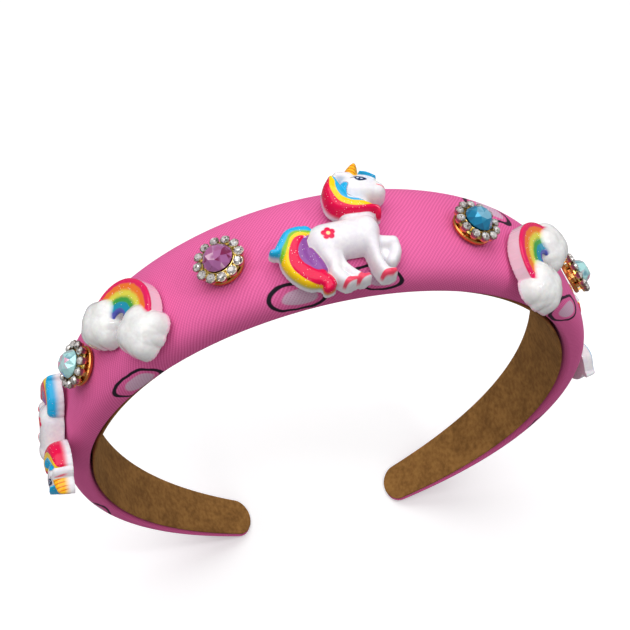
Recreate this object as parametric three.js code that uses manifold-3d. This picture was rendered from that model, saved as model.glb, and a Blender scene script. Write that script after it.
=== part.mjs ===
// A child's padded dress-up headband: a curved band padded on the outside and lined with suede,
// with cast resin unicorns and rainbows and gem studs glued along its crown.
// Millimetres. X runs from ear to ear, Y from the forehead side to the back, Z up to the crown.
import * as THREE from 'three';
import { mergeVertices } from 'three/addons/utils/BufferGeometryUtils.js';
import Module from 'manifold-3d';

const wasm = await Module();
wasm.setup();

// The band, measured along its inside from tip to tip
const bandLength = 380;
const crownRadius = 60; // bend of the inside at the crown
const tipRadius = 155; // bend of the inside at the tips, which are nearly straight
const curlPower = 1.6; // how late the bend opens out
const crownWidth = 25;
const tipWidth = 12.6;
const crownThickness = 10; // lining, core and padding together
const tipThickness = 2.2;
const paddingPower = 1.6; // how late the padding thins out
const sectionPower = 3; // squareness of the padded section, where 2 is an ellipse
const widestShare = 0.2; // how far up its own thickness the padded section is widest
const tipCorner = 3.4; // corner radius of each tip, seen from outside
const tipEdge = 0.9; // how far the padding rounds off towards each tip
const floorPress = 0.45; // how much the cloth is pressed flat where a tip stands
const bandStep = 8.8; // spacing of the band's sections
const tipSteps = 4; // sections in each rounded tip
const sectionSides = 16;
const liningThickness = 0.7;
const liningInset = 0.6; // pink edge left showing round the lining
const seatGap = 0.3; // film of glue between two pieces

// Cast resin unicorn
const unicornLength = 25; // tail to nose
const unicornTall = 25; // hooves to ears
const unicornThickness = 4.8;

// Cast resin rainbow with a cloud at each foot
const rainbowRadius = 9.1;
const rainbowHollow = 1.6; // radius of the opening under the arch
const rainbowThickness = 3.5;
const rainbowBevel = 0.4;
const cloudWidth = 11.4;
const cloudThickness = 5.4;
const cloudSpacing = 12.4; // between the middles of the two clouds
const cloudDrop = 0.9; // how far their middles lie below the middle of the arch

// Gem stud: a gold cup, a ring of small stones and a large stone
const gemRadius = 3.1;
const gemBack = 2.6; // radius of the stone's flat back
const gemTable = 1.75; // radius of its flat top
const gemGirdle = 3.4; // height where the stone is widest
const gemTop = 5.2;
const gemSides = 12;
const chipRadius = 0.98;
const chipTable = 0.55;
const chipGirdle = 3.0;
const chipTop = 3.6;
const chipCount = 12;
const chipSides = 8;
const cupFoot = 3.6; // radius of the foot that is glued down
const cupWaist = 0.95; // height where the cup's wall turns up
const cupBulge = 1.9; // height where the cup is widest
const cupLip = 0.5; // how far it stands out past the middles of the small stones
const cupRim = 2.4; // height of the floor that carries the stones
const cupSides = 12;

const halfLength = bandLength / 2;
const liningTop = liningThickness + seatGap;

// Solids

function toSolid(geometry) {
  const bare = geometry.clone();
  bare.deleteAttribute('normal');
  bare.deleteAttribute('uv');
  const merged = mergeVertices(bare);
  return new wasm.Manifold(new wasm.Mesh({
    numProp: 3,
    vertProperties: new Float32Array(merged.attributes.position.array),
    triVerts: new Uint32Array(merged.index.array),
  }));
}

function toGeometry(solid) {
  const mesh = solid.getMesh();
  const geometry = new THREE.BufferGeometry();
  geometry.setAttribute('position', new THREE.BufferAttribute(new Float32Array(mesh.vertProperties), 3));
  geometry.setIndex(new THREE.BufferAttribute(new Uint32Array(mesh.triVerts), 1));
  geometry.computeVertexNormals();
  return geometry;
}

function fuse(geometries) {
  return geometries.map(toSolid).reduce((whole, piece) => whole.add(piece));
}

// A box that takes away everything below a height
function below(height) {
  const size = 4 * bandLength;
  return toSolid(new THREE.BoxGeometry(size, size, size).translate(0, 0, height - size / 2));
}

// A closed skin through rings of points, each ring convex and seen anticlockwise from its far end
function loft(rings) {
  const count = rings[0].length;
  const faces = [];
  for (let i = 0; i + 1 < rings.length; i += 1) {
    for (let k = 0; k < count; k += 1) {
      const a = i * count + k;
      const b = i * count + (k + 1) % count;
      faces.push(a, b, b + count, a, b + count, a + count);
    }
  }
  const end = (rings.length - 1) * count;
  for (let k = 1; k + 1 < count; k += 1) {
    faces.push(0, k + 1, k);
    faces.push(end, end + k, end + k + 1);
  }
  const geometry = new THREE.BufferGeometry().setFromPoints(rings.flat());
  geometry.setIndex(faces);
  return geometry;
}

// The band's line, traced once from the crown to a tip by its bend

function traceBand() {
  const steps = Math.ceil(halfLength);
  const rows = [{ s: 0, x: 0, z: 0, turn: 0 }];
  for (let i = 1; i <= steps; i += 1) {
    const last = rows[i - 1];
    const s = halfLength * i / steps;
    const ds = s - last.s;
    const share = (s + last.s) / 2 / halfLength;
    const bend = 1 / crownRadius + (1 / tipRadius - 1 / crownRadius) * share ** curlPower;
    const turn = last.turn + bend * ds;
    const heading = (turn + last.turn) / 2;
    rows.push({ s, x: last.x + Math.cos(heading) * ds, z: last.z - Math.sin(heading) * ds, turn });
  }
  return rows;
}

const bandRows = traceBand();

// Where the inside of the band is at a signed distance from the crown, and which way it faces
function bandAt(s) {
  const side = s < 0 ? -1 : 1;
  const along = Math.min(Math.abs(s), halfLength) / halfLength * (bandRows.length - 1);
  const i = Math.min(Math.floor(along), bandRows.length - 2);
  const mix = (key) => THREE.MathUtils.lerp(bandRows[i][key], bandRows[i + 1][key], along - i);
  const turn = side * mix('turn');
  return {
    point: new THREE.Vector3(side * mix('x'), 0, mix('z')),
    along: new THREE.Vector3(Math.cos(turn), 0, -Math.sin(turn)),
    out: new THREE.Vector3(Math.sin(turn), 0, Math.cos(turn)),
  };
}

// Quarter round at a tip: 1 where it starts, 0 at the very end
function tipRound(s) {
  const left = Math.max(halfLength - Math.abs(s), 0);
  return left >= tipCorner ? 1 : Math.sqrt(1 - (1 - left / tipCorner) ** 2);
}

function halfWidthAt(s) {
  const share = Math.abs(s) / halfLength;
  const half = (crownWidth + (tipWidth - crownWidth) * share ** 2) / 2;
  return half - tipCorner * (1 - tipRound(s));
}

function thicknessAt(s) {
  const share = Math.abs(s) / halfLength;
  const full = crownThickness + (tipThickness - crownThickness) * share ** paddingPower;
  return full - tipEdge * (1 - tipRound(s));
}

function bandStations(inset) {
  const last = halfLength - inset;
  const straight = last - tipCorner;
  const half = [];
  const steps = Math.round(straight / bandStep);
  for (let i = 0; i <= steps; i += 1) half.push(straight * i / steps);
  for (let i = 1; i <= tipSteps; i += 1) {
    half.push(straight + tipCorner * Math.sin(i / tipSteps * Math.PI / 2));
  }
  return [...half.slice(1).reverse().map((s) => -s), ...half];
}

function roundPower(value, power) {
  return Math.sign(value) * Math.abs(value) ** (2 / power);
}

// Height of the padded side above the inside of the band, a distance across from its middle
function padTop(s, across) {
  const thickness = thicknessAt(s);
  const widest = liningTop + widestShare * (thickness - liningTop);
  const share = Math.min(Math.abs(across) / halfWidthAt(s), 1);
  return widest + (thickness - widest) * (1 - share ** sectionPower) ** (1 / sectionPower);
}

function padRing(s) {
  const place = bandAt(s);
  const half = halfWidthAt(s);
  const thickness = thicknessAt(s);
  const widest = liningTop + widestShare * (thickness - liningTop);
  const ring = [];
  for (let k = 0; k < sectionSides; k += 1) {
    const angle = k / sectionSides * 2 * Math.PI;
    const side = roundPower(Math.cos(angle), sectionPower);
    const up = roundPower(Math.sin(angle), sectionPower);
    const height = widest + up * (up > 0 ? thickness - widest : widest - liningTop);
    ring.push(place.point.clone().addScaledVector(place.out, height).setY(half * side));
  }
  return ring;
}

function liningRing(s) {
  const place = bandAt(s);
  const half = halfWidthAt(s) - liningInset;
  const corner = (side, height) => place.point.clone().addScaledVector(place.out, height).setY(side * half);
  return [corner(1, 0), corner(1, liningThickness), corner(-1, liningThickness), corner(-1, 0)];
}

function paddedBand() {
  const whole = toSolid(loft(bandStations(0).map(padRing)));
  const lowest = whole.boundingBox().min[2];
  return toGeometry(whole.subtract(below(lowest + floorPress)));
}

function suedeLining() {
  return loft(bandStations(liningInset).map(liningRing));
}

// Cast shapes are made of strokes: ribs with a flat back, upright sides and a rounded front.
// Each row holds a place (u, v), a half width and a height, as shares of the figure's sizes.

const strokeSection = [
  { side: 1, up: 0 },
  { side: 0.97, up: 0.6 },
  { side: 0.5, up: 0.96 },
  { side: -0.5, up: 0.96 },
  { side: -0.97, up: 0.6 },
  { side: -1, up: 0 },
];
// A stroke runs past its last row, as shares of its own half width and height, to a blunt end
const strokeEnd = { past: 0.9, width: 0.62, height: 0.88 };

function stroke(rows, size, steps) {
  const line = new THREE.CatmullRomCurve3(
    rows.map(([u, v]) => new THREE.Vector3(u * size.length, v * size.tall, 0)),
  );
  const form = new THREE.CatmullRomCurve3(
    rows.map(([, , half, height]) => new THREE.Vector3(half * size.length, height * size.thickness, 0)),
  );
  const ring = (t, past, width, height) => {
    const heading = line.getTangent(t);
    const shape = form.getPoint(t);
    const centre = line.getPoint(t).addScaledVector(heading, past * shape.x);
    const across = new THREE.Vector3(-heading.y, heading.x, 0);
    return strokeSection.map(({ side, up }) => (
      centre.clone().addScaledVector(across, side * width * shape.x).setZ(up * height * shape.y)
    ));
  };
  const { past, width, height } = strokeEnd;
  const middle = Array.from({ length: steps + 1 }, (_, i) => ring(i / steps, 0, 1, 1));
  return loft([ring(0, -past, width, height), ...middle, ring(1, past, width, height)]);
}

// Unicorn, seen from its front and facing right: u to its nose, v to its horn
const unicornStrokes = [
  {
    name: 'body',
    steps: 2,
    rows: [[-0.2, 0.054, 0.144, 1], [-0.04, 0.054, 0.132, 1], [0.08, 0.052, 0.132, 1]],
  },
  {
    name: 'neck',
    steps: 2,
    rows: [[0.13, 0.1, 0.104, 0.94], [0.096, 0.224, 0.136, 0.76], [0.092, 0.32, 0.132, 0.8]],
  },
  {
    name: 'head',
    steps: 2,
    rows: [[0.128, 0.452, 0.124, 0.98], [0.216, 0.436, 0.104, 0.98], [0.264, 0.4, 0.08, 0.9]],
  },
  { name: 'ear', steps: 1, rows: [[0.012, 0.568, 0.05, 0.86], [0.022, 0.594, 0.04, 0.8]] },
  { name: 'horn', steps: 1, rows: [[0.12, 0.572, 0.052, 0.88], [0.166, 0.652, 0.024, 0.75]] },
  {
    name: 'forelock',
    steps: 2,
    rows: [[0.176, 0.552, 0.022, 1.02], [0.232, 0.528, 0.024, 1.02], [0.284, 0.496, 0.024, 0.96]],
  },
  {
    name: 'mane',
    steps: 6,
    rows: [
      [-0.036, 0.556, 0.032, 0.82],
      [-0.048, 0.48, 0.076, 0.88],
      [-0.044, 0.408, 0.096, 0.92],
      [-0.028, 0.344, 0.096, 0.94],
      [0.04, 0.292, 0.076, 1],
      [0.128, 0.272, 0.062, 1.02],
      [0.2, 0.252, 0.038, 0.96],
      [0.252, 0.228, 0.028, 0.88],
    ],
  },
  {
    name: 'tail',
    steps: 6,
    rows: [
      [-0.34, 0.145, 0.07, 0.72],
      [-0.42, 0.105, 0.1, 0.72],
      [-0.445, -0.04, 0.128, 0.72],
      [-0.38, -0.188, 0.1, 0.72],
      [-0.292, -0.248, 0.064, 0.7],
      [-0.256, -0.3, 0.056, 0.68],
    ],
  },
  {
    name: 'tail_tip',
    steps: 3,
    rows: [
      [-0.38, 0.168, 0.048, 0.7],
      [-0.46, 0.148, 0.056, 0.7],
      [-0.524, 0.076, 0.056, 0.68],
      [-0.6, 0.042, 0.026, 0.64],
    ],
  },
  {
    name: 'hind_leg',
    steps: 2,
    rows: [
      [-0.224, -0.024, 0.116, 0.94],
      [-0.212, -0.144, 0.07, 0.86],
      [-0.19, -0.216, 0.062, 0.82],
      [-0.118, -0.296, 0.058, 0.76],
    ],
  },
  {
    name: 'far_hind_leg',
    steps: 2,
    rows: [
      [-0.144, -0.088, 0.06, 0.74],
      [-0.12, -0.168, 0.048, 0.72],
      [-0.04, -0.256, 0.05, 0.69],
      [0.008, -0.292, 0.05, 0.68],
    ],
  },
  {
    name: 'front_leg',
    steps: 3,
    rows: [
      [0.128, 0.12, 0.092, 0.96],
      [0.132, 0.008, 0.076, 0.95],
      [0.136, -0.1, 0.054, 0.9],
      [0.144, -0.192, 0.05, 0.86],
      [0.184, -0.29, 0.056, 0.79],
    ],
  },
  { name: 'raised_leg', steps: 1, rows: [[0.18, -0.024, 0.052, 0.64], [0.304, -0.052, 0.048, 0.64]] },
  {
    name: 'tucked_hoof',
    steps: 2,
    rows: [[0.312, -0.056, 0.046, 0.64], [0.3, -0.12, 0.046, 0.62], [0.256, -0.184, 0.044, 0.6]],
  },
];

function castUnicorn() {
  const size = { length: unicornLength, tall: unicornTall, thickness: unicornThickness };
  return toGeometry(fuse(unicornStrokes.map(({ rows, steps }) => stroke(rows, size, steps))));
}

// Cloud lobes, with u outward from the arch and v up: place, radius and height as shares of the cloud
const cloudLobes = [
  { u: -0.02, v: 0, radius: 0.4, height: 1 },
  { u: 0.22, v: 0.12, radius: 0.28, height: 0.86 },
  { u: -0.14, v: 0.22, radius: 0.27, height: 0.84 },
  { u: -0.2, v: -0.16, radius: 0.28, height: 0.84 },
  { u: 0.14, v: -0.2, radius: 0.29, height: 0.86 },
];
const lobeTurns = 10;
const lobeRows = 6;

function cloud(side) {
  return cloudLobes.map(({ u, v, radius, height }) => new THREE.SphereGeometry(1, lobeTurns, lobeRows)
    .rotateX(Math.PI / 2)
    .scale(radius * cloudWidth, radius * cloudWidth, height * cloudThickness)
    .translate(side * (cloudSpacing / 2 + u * cloudWidth), v * cloudWidth - cloudDrop, 0));
}

const archSegments = 14;

function arch() {
  const outer = rainbowRadius - rainbowBevel;
  const inner = rainbowHollow + rainbowBevel;
  const outline = new THREE.Shape();
  outline.absarc(0, 0, outer, 0, Math.PI, false);
  outline.absarc(0, 0, inner, Math.PI, 0, true);
  return new THREE.ExtrudeGeometry(outline, {
    depth: rainbowThickness - rainbowBevel,
    curveSegments: archSegments,
    bevelSize: rainbowBevel,
    bevelThickness: rainbowBevel,
    bevelSegments: 1,
  });
}

function castRainbow() {
  return toGeometry(fuse([arch(), ...cloud(-1), ...cloud(1)]).subtract(below(0)));
}

// Gem stud

function lathe(profile, sides) {
  const points = profile.map(([r, z]) => new THREE.Vector2(r, z));
  return new THREE.LatheGeometry(points, sides).rotateX(Math.PI / 2);
}

const gemClear = gemRadius + seatGap;
const chipRing = gemClear + chipRadius;

function studSetting() {
  const cup = lathe([
    [0, 0],
    [cupFoot, 0],
    [chipRing, cupWaist],
    [chipRing + cupLip, cupBulge],
    [chipRing, cupRim],
    [0, cupRim],
  ], cupSides);
  const chip = [
    [0, cupBulge],
    [chipRadius, chipGirdle],
    [chipTable, chipTop],
    [0, chipTop],
  ];
  const chips = Array.from({ length: chipCount }, (_, i) => lathe(chip, chipSides)
    .translate(chipRing, 0, 0)
    .rotateZ(i / chipCount * 2 * Math.PI));
  return toGeometry(fuse([cup, ...chips]));
}

function studGem() {
  const seat = cupRim + seatGap;
  return lathe([
    [0, seat],
    [gemBack, seat],
    [gemRadius, gemGirdle],
    [gemTable, gemTop],
    [0, gemTop],
  ], gemSides);
}

const colours = {
  fabric: 0xe0559f,
  suede: 0x8f6a3f,
  resin: 0xf4f1f2,
  gold: 0xc98a3a,
  pinkGem: 0xd77ab6,
  blueGem: 0x0f7fb8,
  clearGem: 0xdfeff2,
};

function material(colour, roughness, metalness) {
  return new THREE.MeshStandardMaterial({ color: colour, roughness, metalness });
}

function piece(name, geometry, finish) {
  const mesh = new THREE.Mesh(geometry, finish);
  mesh.name = name;
  return mesh;
}

const colourOf = { pink: colours.pinkGem, blue: colours.blueGem, clear: colours.clearGem };
const unicornCast = castUnicorn();
const rainbowCast = castRainbow();
const settingCast = studSetting();
const gemCut = studGem();

// Each charm's largest solid lies on the band
const castOf = { unicorn: unicornCast, rainbow: rainbowCast, stud: settingCast };

function charmPieces({ name, kind, gem }) {
  if (kind !== 'stud') return [piece(name, castOf[kind], material(colours.resin, 0.2, 0))];
  return [
    piece(`${name}_setting`, settingCast, material(colours.gold, 0.3, 1)),
    piece(`${name}_stone`, gemCut, material(colourOf[gem], 0.05, 0)),
  ];
}

// How far a turned charm reaches along the band from its own middle, back and forth
function charmReach({ kind, turn }) {
  const turned = castOf[kind].clone().rotateZ(THREE.MathUtils.degToRad(turn));
  turned.computeBoundingBox();
  return { back: -turned.boundingBox.min.x, forth: turned.boundingBox.max.x };
}

const slopeStep = 0.01;

// Seat on the padded side: the charm's back lies on it, facing out, turned by degrees about that axis
function seatCharm(charm, s) {
  const across = charm.across * crownWidth;
  const place = bandAt(s);
  const rise = padTop(s, across + slopeStep) - padTop(s, across - slopeStep);
  const back = new THREE.Vector3(0, 1, 0).addScaledVector(place.out, rise / (2 * slopeStep)).normalize();
  const out = new THREE.Vector3().crossVectors(place.along, back);
  const seat = new THREE.Group();
  seat.quaternion.setFromRotationMatrix(new THREE.Matrix4().makeBasis(place.along, back, out));
  seat.position.copy(place.point)
    .addScaledVector(place.out, padTop(s, across))
    .setY(across)
    .addScaledVector(out, seatGap);
  const turned = new THREE.Group();
  turned.rotation.z = THREE.MathUtils.degToRad(charm.turn);
  turned.add(...charmPieces(charm));
  seat.add(turned);
  return seat;
}

// Charms are glued in a row along the band, out from the crown on each side, with a gap before each.
// gap and across, from the middle of the band towards the back, are shares of the crown width. turn is in
// degrees.
const crownCharm = { name: 'unicorn_centre', kind: 'unicorn', across: -0.256, turn: 0 };
const leftCharms = [
  { name: 'pink_stud', kind: 'stud', gem: 'pink', gap: 0.145, across: -0.08, turn: 0 },
  { name: 'rainbow_left', kind: 'rainbow', gap: 0.321, across: -0.132, turn: -38 },
  { name: 'left_clear_stud', kind: 'stud', gem: 'clear', gap: 0.053, across: -0.104, turn: 8 },
  { name: 'unicorn_left', kind: 'unicorn', gap: 0.268, across: -0.212, turn: 212 },
];
const rightCharms = [
  { name: 'blue_stud', kind: 'stud', gem: 'blue', gap: 0.526, across: -0.084, turn: 0 },
  { name: 'rainbow_right', kind: 'rainbow', gap: 0.12, across: -0.304, turn: 60 },
  { name: 'right_clear_stud', kind: 'stud', gem: 'clear', gap: 0.443, across: 0, turn: 8 },
  { name: 'unicorn_right', kind: 'unicorn', gap: 0.774, across: 0.188, turn: 85 },
];
const rowScale = crownRadius / (crownRadius + crownThickness); // from the padded side to the inside

function charmRow(charms, side) {
  const start = charmReach(crownCharm);
  let reached = side < 0 ? start.back : start.forth;
  return charms.map((charm) => {
    const { back, forth } = charmReach(charm);
    const place = reached + charm.gap * crownWidth + (side < 0 ? forth : back);
    reached = place + (side < 0 ? back : forth);
    return seatCharm(charm, side * place * rowScale);
  });
}

const headband = new THREE.Group();
headband.name = 'padded_headband';
headband.add(piece('padded_band', paddedBand(), material(colours.fabric, 0.85, 0)));
headband.add(piece('suede_lining', suedeLining(), material(colours.suede, 0.95, 0)));
headband.add(seatCharm(crownCharm, 0));
headband.add(...charmRow(leftCharms, -1));
headband.add(...charmRow(rightCharms, 1));

// The origin is on the ground, under the middle of the whole headband
const bounds = new THREE.Box3().setFromObject(headband, true);
const middle = bounds.getCenter(new THREE.Vector3());
headband.position.set(-middle.x, -middle.y, -bounds.min.z);

export default headband;
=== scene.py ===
# A child's padded dress-up headband: bright pink cloth over a padded band, a suede lining, painted resin
# unicorns and rainbows, and gem studs. Modelling is in millimetres and turned into metres as a mesh is made.
import math

import bpy
import numpy as np
from mathutils import Matrix, Vector


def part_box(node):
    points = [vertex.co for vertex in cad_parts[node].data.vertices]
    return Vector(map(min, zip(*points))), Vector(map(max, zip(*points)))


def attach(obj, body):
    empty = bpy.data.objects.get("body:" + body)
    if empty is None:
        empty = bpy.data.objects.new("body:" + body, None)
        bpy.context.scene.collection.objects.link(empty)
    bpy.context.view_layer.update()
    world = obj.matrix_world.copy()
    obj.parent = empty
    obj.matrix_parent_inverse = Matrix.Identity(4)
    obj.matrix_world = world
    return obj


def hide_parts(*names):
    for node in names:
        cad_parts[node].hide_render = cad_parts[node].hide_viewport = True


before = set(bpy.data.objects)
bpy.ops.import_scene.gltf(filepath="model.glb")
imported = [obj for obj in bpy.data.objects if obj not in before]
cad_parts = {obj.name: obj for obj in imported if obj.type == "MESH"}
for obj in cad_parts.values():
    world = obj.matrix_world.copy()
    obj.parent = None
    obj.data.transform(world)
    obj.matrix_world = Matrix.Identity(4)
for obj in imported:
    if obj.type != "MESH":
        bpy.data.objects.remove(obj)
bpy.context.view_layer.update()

MM = 0.001

# The band, as its solid was made, in millimetres
BAND_LENGTH = 380.0
HALF_LENGTH = BAND_LENGTH / 2
CROWN_RADIUS = 60.0
TIP_RADIUS = 155.0
CURL_POWER = 1.6
CROWN_WIDTH = 25.0
TIP_WIDTH = 12.6
CROWN_THICKNESS = 10.0
TIP_THICKNESS = 2.2
PADDING_POWER = 1.6
SECTION_POWER = 3.0
WIDEST_SHARE = 0.2
TIP_EDGE = 0.9
LINING_THICKNESS = 0.7
SEAT_GAP = 0.3
LINING_TOP = LINING_THICKNESS + SEAT_GAP

# The band, where the cloth and suede differ a little from the solid
TIP_CORNER = 5.6  # they are drawn in rounder at the tips
LINING_INSET = 0.35
CROWN_INSET = 1.55  # more than that at the crown, where the cover turns in further

# The middle of the crown's inside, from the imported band
band_low, band_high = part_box("padded_band")
CROWN_INSIDE = np.array([
    (band_low.x + band_high.x) / 2 / MM,
    (band_low.y + band_high.y) / 2 / MM,
    band_high.z / MM - CROWN_THICKNESS,
])

# Where each charm is glued: along the inside from the crown, across to the back, and its turn in degrees
CHARM_PLACES = {
    "unicorn_centre": {"along": 0.0, "across": -6.4, "turn": 0},
    "pink_stud": {"along": -21.16, "across": -2.0, "turn": 0},
    "rainbow_left": {"along": -41.49, "across": -3.3, "turn": -38},
    "left_clear_stud": {"along": -56.95, "across": -2.6, "turn": 8},
    "unicorn_left": {"along": -79.19, "across": -5.3, "turn": 212},
    "blue_stud": {"along": 23.52, "across": -2.1, "turn": 0},
    "rainbow_right": {"along": 38.48, "across": -7.6, "turn": 60},
    "right_clear_stud": {"along": 61.0, "across": 0.0, "turn": 8},
    "unicorn_right": {"along": 96.3, "across": 4.7, "turn": 85},
}


# Camera, floor and light

CAMERA_PLACE = (-30.3, -90.1, 115.6)  # from the middle of the crown's inside
CAMERA_TARGET = (0.65, 19.6, -48.7)
CAMERA_ROLL = 2.85
PHOTO_SIZE = 630
FOCAL_PIXELS = 720
SENSOR_WIDTH = 36.0
NEAR_CLIP = 0.01
ROOM_LIGHT = 0.36
FLOOR_SIZE = 4.0
FLOOR_GLOW = 0.22  # lifts the paper to the white that the camera sees


def set_camera():
    place = Vector(CROWN_INSIDE) + Vector(CAMERA_PLACE)
    target = Vector(CROWN_INSIDE) + Vector(CAMERA_TARGET)
    data = bpy.data.cameras.new("portrait_camera")
    data.sensor_width = SENSOR_WIDTH
    data.lens = FOCAL_PIXELS * SENSOR_WIDTH / PHOTO_SIZE
    data.clip_start = NEAR_CLIP
    camera = bpy.data.objects.new("portrait_camera", data)
    roll = Matrix.Rotation(math.radians(CAMERA_ROLL), 4, "Z")
    facing = (target - place).to_track_quat("-Z", "Y").to_matrix().to_4x4()
    camera.matrix_world = Matrix.Translation(place * MM) @ facing @ roll
    bpy.context.scene.collection.objects.link(camera)
    bpy.context.scene.camera = camera


def set_light(name, place, size, power):
    """A round softbox aimed at the headband: its place and size in metres, its power in watts."""
    data = bpy.data.lights.new(name, "AREA")
    data.shape = "DISK"
    data.size = size
    data.energy = power
    light = bpy.data.objects.new(name, data)
    light.location = place
    light.rotation_euler = (-Vector(place)).to_track_quat("-Z", "Y").to_euler()
    bpy.context.scene.collection.objects.link(light)


def set_stage():
    world = bpy.data.worlds.new("studio")
    world.use_nodes = True
    world.node_tree.nodes["Background"].inputs["Color"].default_value = (1.0, 1.0, 1.0, 1.0)
    world.node_tree.nodes["Background"].inputs["Strength"].default_value = ROOM_LIGHT
    bpy.context.scene.world = world
    bpy.context.scene.view_settings.view_transform = "Standard"
    set_light("overhead_softbox", place=(-0.12, 0.1, 0.95), size=1.1, power=7.0)
    set_light("front_softbox", place=(-0.35, -0.5, 0.6), size=0.25, power=0.35)
    set_light("window", place=(0.22, -0.1, 0.5), size=0.06, power=0.3)
    bpy.ops.mesh.primitive_plane_add(size=FLOOR_SIZE)
    floor = bpy.context.object
    floor.name = "floor"
    floor.data.materials.append(floor_paper())


# Shader nodes

class Nodes:
    """Adds nodes to a tree. An input is a plain value, or the socket that it is wired to."""

    def __init__(self, tree):
        self.tree = tree

    def add(self, kind, inputs=None, **settings):
        node = self.tree.nodes.new("ShaderNode" + kind)
        for key, value in settings.items():
            setattr(node, key, value)
        self.wire(node, inputs or {})
        return node

    def wire(self, node, inputs):
        for key, value in inputs.items():
            if isinstance(value, bpy.types.NodeSocket):
                self.tree.links.new(value, node.inputs[key])
            else:
                node.inputs[key].default_value = value

    def math(self, operation, *values):
        node = self.add("Math", dict(enumerate(values)), operation=operation)
        return node.outputs[0]

    def mix(self, share, first, second):
        node = self.add("Mix", {0: share, 6: first, 7: second}, data_type="RGBA")
        return node.outputs[2]

    def rise(self, value, low, high):
        """0 below low, 1 above high, smooth between."""
        node = self.add("MapRange", {"Value": value, "From Min": low, "From Max": high},
                        interpolation_type="SMOOTHSTEP")
        return node.outputs[0]

    def field(self, name):
        """A value kept at each vertex of the mesh."""
        return self.add("Attribute", attribute_name=name)

    def place(self, group, inputs):
        node = self.add("Group", node_tree=group)
        self.wire(node, inputs)
        return node.outputs

    def bump(self, height, strength, distance):
        node = self.add("Bump", {"Height": height, "Strength": strength, "Distance": distance})
        return node.outputs[0]


def effect(name, inputs, outputs):
    """A node group with its sockets: inputs are name to default, outputs are name to socket kind."""
    group = bpy.data.node_groups.new(name, "ShaderNodeTree")
    for label, default in inputs.items():
        vector = default is None
        kind = "NodeSocketVector" if vector else "NodeSocketFloat"
        socket = group.interface.new_socket(label, in_out="INPUT", socket_type=kind)
        if not vector:
            socket.default_value = default
    for label, kind in outputs.items():
        group.interface.new_socket(label, in_out="OUTPUT", socket_type="NodeSocket" + kind)
    nodes = Nodes(group)
    incoming = nodes.tree.nodes.new("NodeGroupInput").outputs
    outgoing = nodes.tree.nodes.new("NodeGroupOutput")
    return group, nodes, incoming, outgoing


def mottle_effect():
    """Uneven tone: two sizes of soft cloudy noise."""
    group, nodes, given, result = effect(
        "mottle", {"Place": None, "Size": 4.0, "Grain": 0.6, "Contrast": 1.0}, {"Tone": "Float"})
    scale = nodes.math("DIVIDE", 1.0, given["Size"])
    fine = nodes.math("DIVIDE", 1.0, given["Grain"])
    broad = nodes.add("TexNoise", {"Vector": given["Place"], "Scale": scale, "Detail": 3.0})
    grain = nodes.add("TexNoise", {"Vector": given["Place"], "Scale": fine, "Detail": 2.0})
    both = nodes.math("ADD", broad.outputs["Fac"], grain.outputs["Fac"])
    centred = nodes.math("SUBTRACT", both, 1.0)
    nodes.wire(result, {"Tone": nodes.math("MULTIPLY_ADD", centred, given["Contrast"], 0.5)})
    return group


def weave_effect():
    """Twill: straight ribs that climb steeply across the band, crossed by fine threads."""
    group, nodes, given, result = effect(
        "weave", {"Place": None, "Pitch": 0.6, "Climb": 50.0}, {"Height": "Float", "Fibre": "Float"})
    wander = nodes.add("TexNoise", {"Vector": given["Place"], "Scale": 0.15, "Detail": 1.0})
    drift = nodes.math("MULTIPLY", nodes.math("SUBTRACT", wander.outputs["Fac"], 0.5), 1.0)
    climb = nodes.math("RADIANS", given["Climb"])
    parts = nodes.add("SeparateXYZ", {0: given["Place"]}).outputs
    along = nodes.math("MULTIPLY", parts["X"], nodes.math("SINE", climb))
    across = nodes.math("MULTIPLY", parts["Y"], nodes.math("COSINE", climb))
    slanted = nodes.math("ADD", nodes.math("SUBTRACT", along, across), drift)
    turn = nodes.math("DIVIDE", 2 * math.pi, given["Pitch"])
    rib = nodes.math("SINE", nodes.math("MULTIPLY", slanted, turn))
    crossing = nodes.math("ADD", along, across)
    thread = nodes.math("SINE", nodes.math("MULTIPLY", crossing, nodes.math("MULTIPLY", turn, 1.3)))
    both = nodes.math("MULTIPLY_ADD", thread, 0.5, rib)
    nodes.wire(result, {"Height": nodes.math("MULTIPLY_ADD", both, 0.33, 0.5)})
    fuzz = nodes.add("TexNoise", {"Vector": given["Place"], "Scale": 5.0, "Detail": 3.0})
    nodes.wire(result, {"Fibre": fuzz.outputs["Fac"]})
    return group


def paint_effect():
    """Hand paint: full inside its outline, soft at the edge, and thinning out down the casting's wall."""
    group, nodes, given, result = effect(
        "hand_paint", {"Inside": 0.0, "Height": 5.0, "Edge": 0.07, "Low": 0.7, "High": 2.3},
        {"Paint": "Float"})
    outside = nodes.math("MULTIPLY", given["Edge"], -1.0)
    body = nodes.rise(given["Inside"], outside, given["Edge"])
    reach = nodes.rise(given["Height"], given["Low"], given["High"])
    nodes.wire(result, {"Paint": nodes.math("MULTIPLY", body, reach)})
    return group


def glitter_effect():
    """Small bright flakes, sparse and of several sizes."""
    group, nodes, given, result = effect(
        "glitter", {"Place": None, "Spacing": 0.5, "Flake": 0.2, "Share": 0.5}, {"Flakes": "Float"})
    scale = nodes.math("DIVIDE", 1.0, given["Spacing"])
    cells = nodes.add("TexVoronoi", {"Vector": given["Place"], "Scale": scale})
    near = nodes.math("LESS_THAN", cells.outputs["Distance"], given["Flake"])
    tone = nodes.add("SeparateColor", {0: cells.outputs["Color"]})
    chosen = nodes.math("LESS_THAN", tone.outputs["Red"], given["Share"])
    nodes.wire(result, {"Flakes": nodes.math("MULTIPLY", near, chosen)})
    return group


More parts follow.
